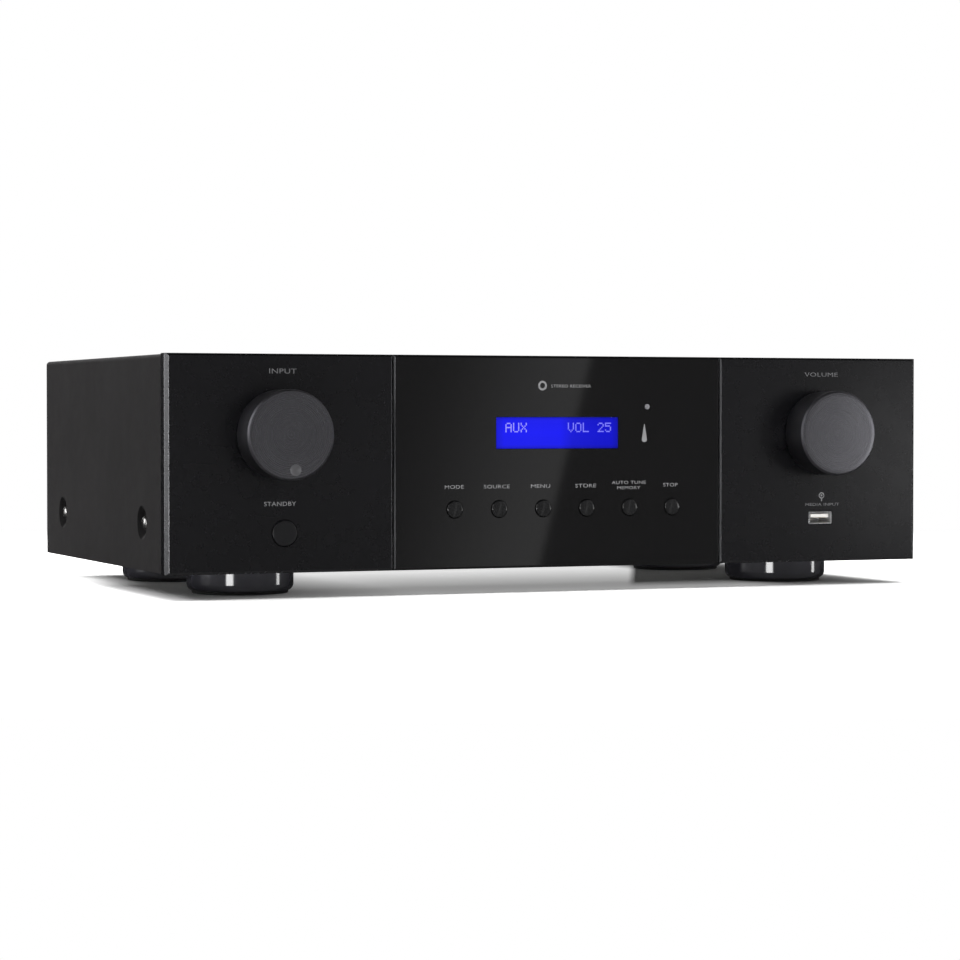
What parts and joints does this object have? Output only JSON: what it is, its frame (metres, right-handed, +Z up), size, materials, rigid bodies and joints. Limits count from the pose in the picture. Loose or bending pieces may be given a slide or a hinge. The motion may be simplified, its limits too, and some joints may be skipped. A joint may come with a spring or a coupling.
{
  "type": "stereo receiver",
  "caption": "Full-width stereo receiver with a folded steel cover, thick faceplates around a gloss display window, rotary knobs, push buttons and round feet.",
  "frame": {"origin": "centre of the overall box at the plane the feet stand on", "axes": "+X to the right seen from the front, +Y from the front to the rear, +Z up"},
  "size_m": [0.43, 0.282, 0.124],
  "materials": {
    "faceplate": "black anodised, fine satin",
    "gloss_window": "polished black acrylic",
    "display_blue": "lit blue display behind clear plastic",
    "lamp_lens": "clear lens",
    "knob": "black anodised, satin turned face",
    "button": "gloss black",
    "button_standby": "satin black",
    "cover": "fine textured warm black paint",
    "rear_sheet": "satin black paint",
    "chassis_steel": "zinc plated steel",
    "sheet_steel": "plain steel sheet",
    "steel": "machined steel",
    "bright_screw": "bright nickel plate",
    "foot": "gloss black moulding",
    "foot_pad": "matt black rubber",
    "circuit_board": "green solder mask",
    "winding": "taped copper winding on an iron core",
    "capacitor": "sleeved can",
    "heatsink": "extruded aluminium",
    "tin_plate": "tinned can",
    "ribbon": "grey ribbon insulation",
    "black_plastic": "moulded black plastic",
    "rocker": "gloss black",
    "lever_black": "moulded black",
    "lever_red": "moulded red"
  },
  "bodies": {
    "receiver_body": {"chassis_base": "chassis_steel", "front_subpanel": "sheet_steel", "rear_panel": "rear_sheet", "top_cover": "cover", "faceplate_left": "faceplate", "faceplate_right": "faceplate", "display_window": "gloss_window", "display_lens": "display_blue", "display_module": "sheet_steel", "status_led": "lamp_lens", "front_board": "circuit_board", "selector_encoder": "steel", "selector_encoder_nut": "bright_screw", "volume_encoder": "steel", "volume_encoder_nut": "bright_screw", "usb_socket": "bright_screw", "toroid_transformer": "winding", "transformer_clamp": "steel", "transformer_bolt": "bright_screw", "main_board": "circuit_board", "filter_capacitor_1": "capacitor", "filter_capacitor_2": "capacitor", "heatsink": "heatsink", "power_module": "black_plastic", "input_board": "circuit_board", "tuner_module": "tin_plate", "ribbon_cable": "ribbon", "mains_inlet": "black_plastic", "mains_switch_housing": "black_plastic", "input_jack_block": "black_plastic", "speaker_terminal_block": "black_plastic", "antenna_socket": "bright_screw", "foot_front_left": "foot", "foot_front_right": "foot", "foot_rear_left": "foot", "foot_rear_right": "foot", "foot_pad_front_left": "foot_pad", "foot_pad_front_right": "foot_pad", "foot_pad_rear_left": "foot_pad", "foot_pad_rear_right": "foot_pad", "cover_screw_front_left": "bright_screw", "cover_screw_front_right": "bright_screw", "cover_screw_rear_left": "bright_screw", "cover_screw_rear_right": "bright_screw"},
    "selector": {"selector_knob": "knob", "selector_shaft": "steel"},
    "volume": {"volume_knob": "knob", "volume_shaft": "steel"},
    "standby_key": {"standby_button": "button_standby"},
    "power_rocker": {"mains_rocker": "rocker"},
    "function_key_1": {"function_button_1": "button"},
    "function_key_2": {"function_button_2": "button"},
    "function_key_3": {"function_button_3": "button"},
    "function_key_4": {"function_button_4": "button"},
    "function_key_5": {"function_button_5": "button"},
    "function_key_6": {"function_button_6": "button"},
    "terminal_lever_1": {"speaker_lever_1": "lever_black"},
    "terminal_lever_2": {"speaker_lever_2": "lever_red"},
    "terminal_lever_3": {"speaker_lever_3": "lever_black"},
    "terminal_lever_4": {"speaker_lever_4": "lever_red"}
  },
  "joints": [
    {"name": "selector_turn", "type": "hinge", "parent": "receiver_body", "child": "selector", "pos_m": [-0.1555, -0.131, 0.0831], "axis": [0, 1, 0], "continuous": true},
    {"name": "volume_turn", "type": "hinge", "parent": "receiver_body", "child": "volume", "pos_m": [0.1555, -0.131, 0.0831], "axis": [0, 1, 0], "continuous": true},
    {"name": "function_press_1", "type": "slide", "parent": "receiver_body", "child": "function_key_1", "axis": [0, 1, 0], "range_m": [0, 0.0006], "stiffness_N_per_m": 400, "springref_m": -0.002},
    {"name": "function_press_2", "type": "slide", "parent": "receiver_body", "child": "function_key_2", "axis": [0, 1, 0], "range_m": [0, 0.0006], "stiffness_N_per_m": 400, "springref_m": -0.002},
    {"name": "function_press_3", "type": "slide", "parent": "receiver_body", "child": "function_key_3", "axis": [0, 1, 0], "range_m": [0, 0.0006], "stiffness_N_per_m": 400, "springref_m": -0.002},
    {"name": "function_press_4", "type": "slide", "parent": "receiver_body", "child": "function_key_4", "axis": [0, 1, 0], "range_m": [0, 0.0006], "stiffness_N_per_m": 400, "springref_m": -0.002},
    {"name": "function_press_5", "type": "slide", "parent": "receiver_body", "child": "function_key_5", "axis": [0, 1, 0], "range_m": [0, 0.0006], "stiffness_N_per_m": 400, "springref_m": -0.002},
    {"name": "function_press_6", "type": "slide", "parent": "receiver_body", "child": "function_key_6", "axis": [0, 1, 0], "range_m": [0, 0.0006], "stiffness_N_per_m": 400, "springref_m": -0.002},
    {"name": "standby_press", "type": "slide", "parent": "receiver_body", "child": "standby_key", "axis": [0, 1, 0], "range_m": [0, 0.0008], "stiffness_N_per_m": 400, "springref_m": -0.002},
    {"name": "power_rock", "type": "hinge", "parent": "receiver_body", "child": "power_rocker", "pos_m": [-0.128, 0.1265, 0.058], "axis": [1, 0, 0], "range_deg": [-16, 0]},
    {"name": "terminal_press_1", "type": "hinge", "parent": "receiver_body", "child": "terminal_lever_1", "pos_m": [-0.07, 0.132, 0.0615], "axis": [1, 0, 0], "range_deg": [-25, 0], "stiffness_Nm_per_rad": 0.05, "springref_deg": 28.65},
    {"name": "terminal_press_2", "type": "hinge", "parent": "receiver_body", "child": "terminal_lever_2", "pos_m": [-0.051, 0.132, 0.0615], "axis": [1, 0, 0], "range_deg": [-25, 0], "stiffness_Nm_per_rad": 0.05, "springref_deg": 28.65},
    {"name": "terminal_press_3", "type": "hinge", "parent": "receiver_body", "child": "terminal_lever_3", "pos_m": [-0.033, 0.132, 0.0615], "axis": [1, 0, 0], "range_deg": [-25, 0], "stiffness_Nm_per_rad": 0.05, "springref_deg": 28.65},
    {"name": "terminal_press_4", "type": "hinge", "parent": "receiver_body", "child": "terminal_lever_4", "pos_m": [-0.014, 0.132, 0.0615], "axis": [1, 0, 0], "range_deg": [-25, 0], "stiffness_Nm_per_rad": 0.05, "springref_deg": 28.65}
  ]
}
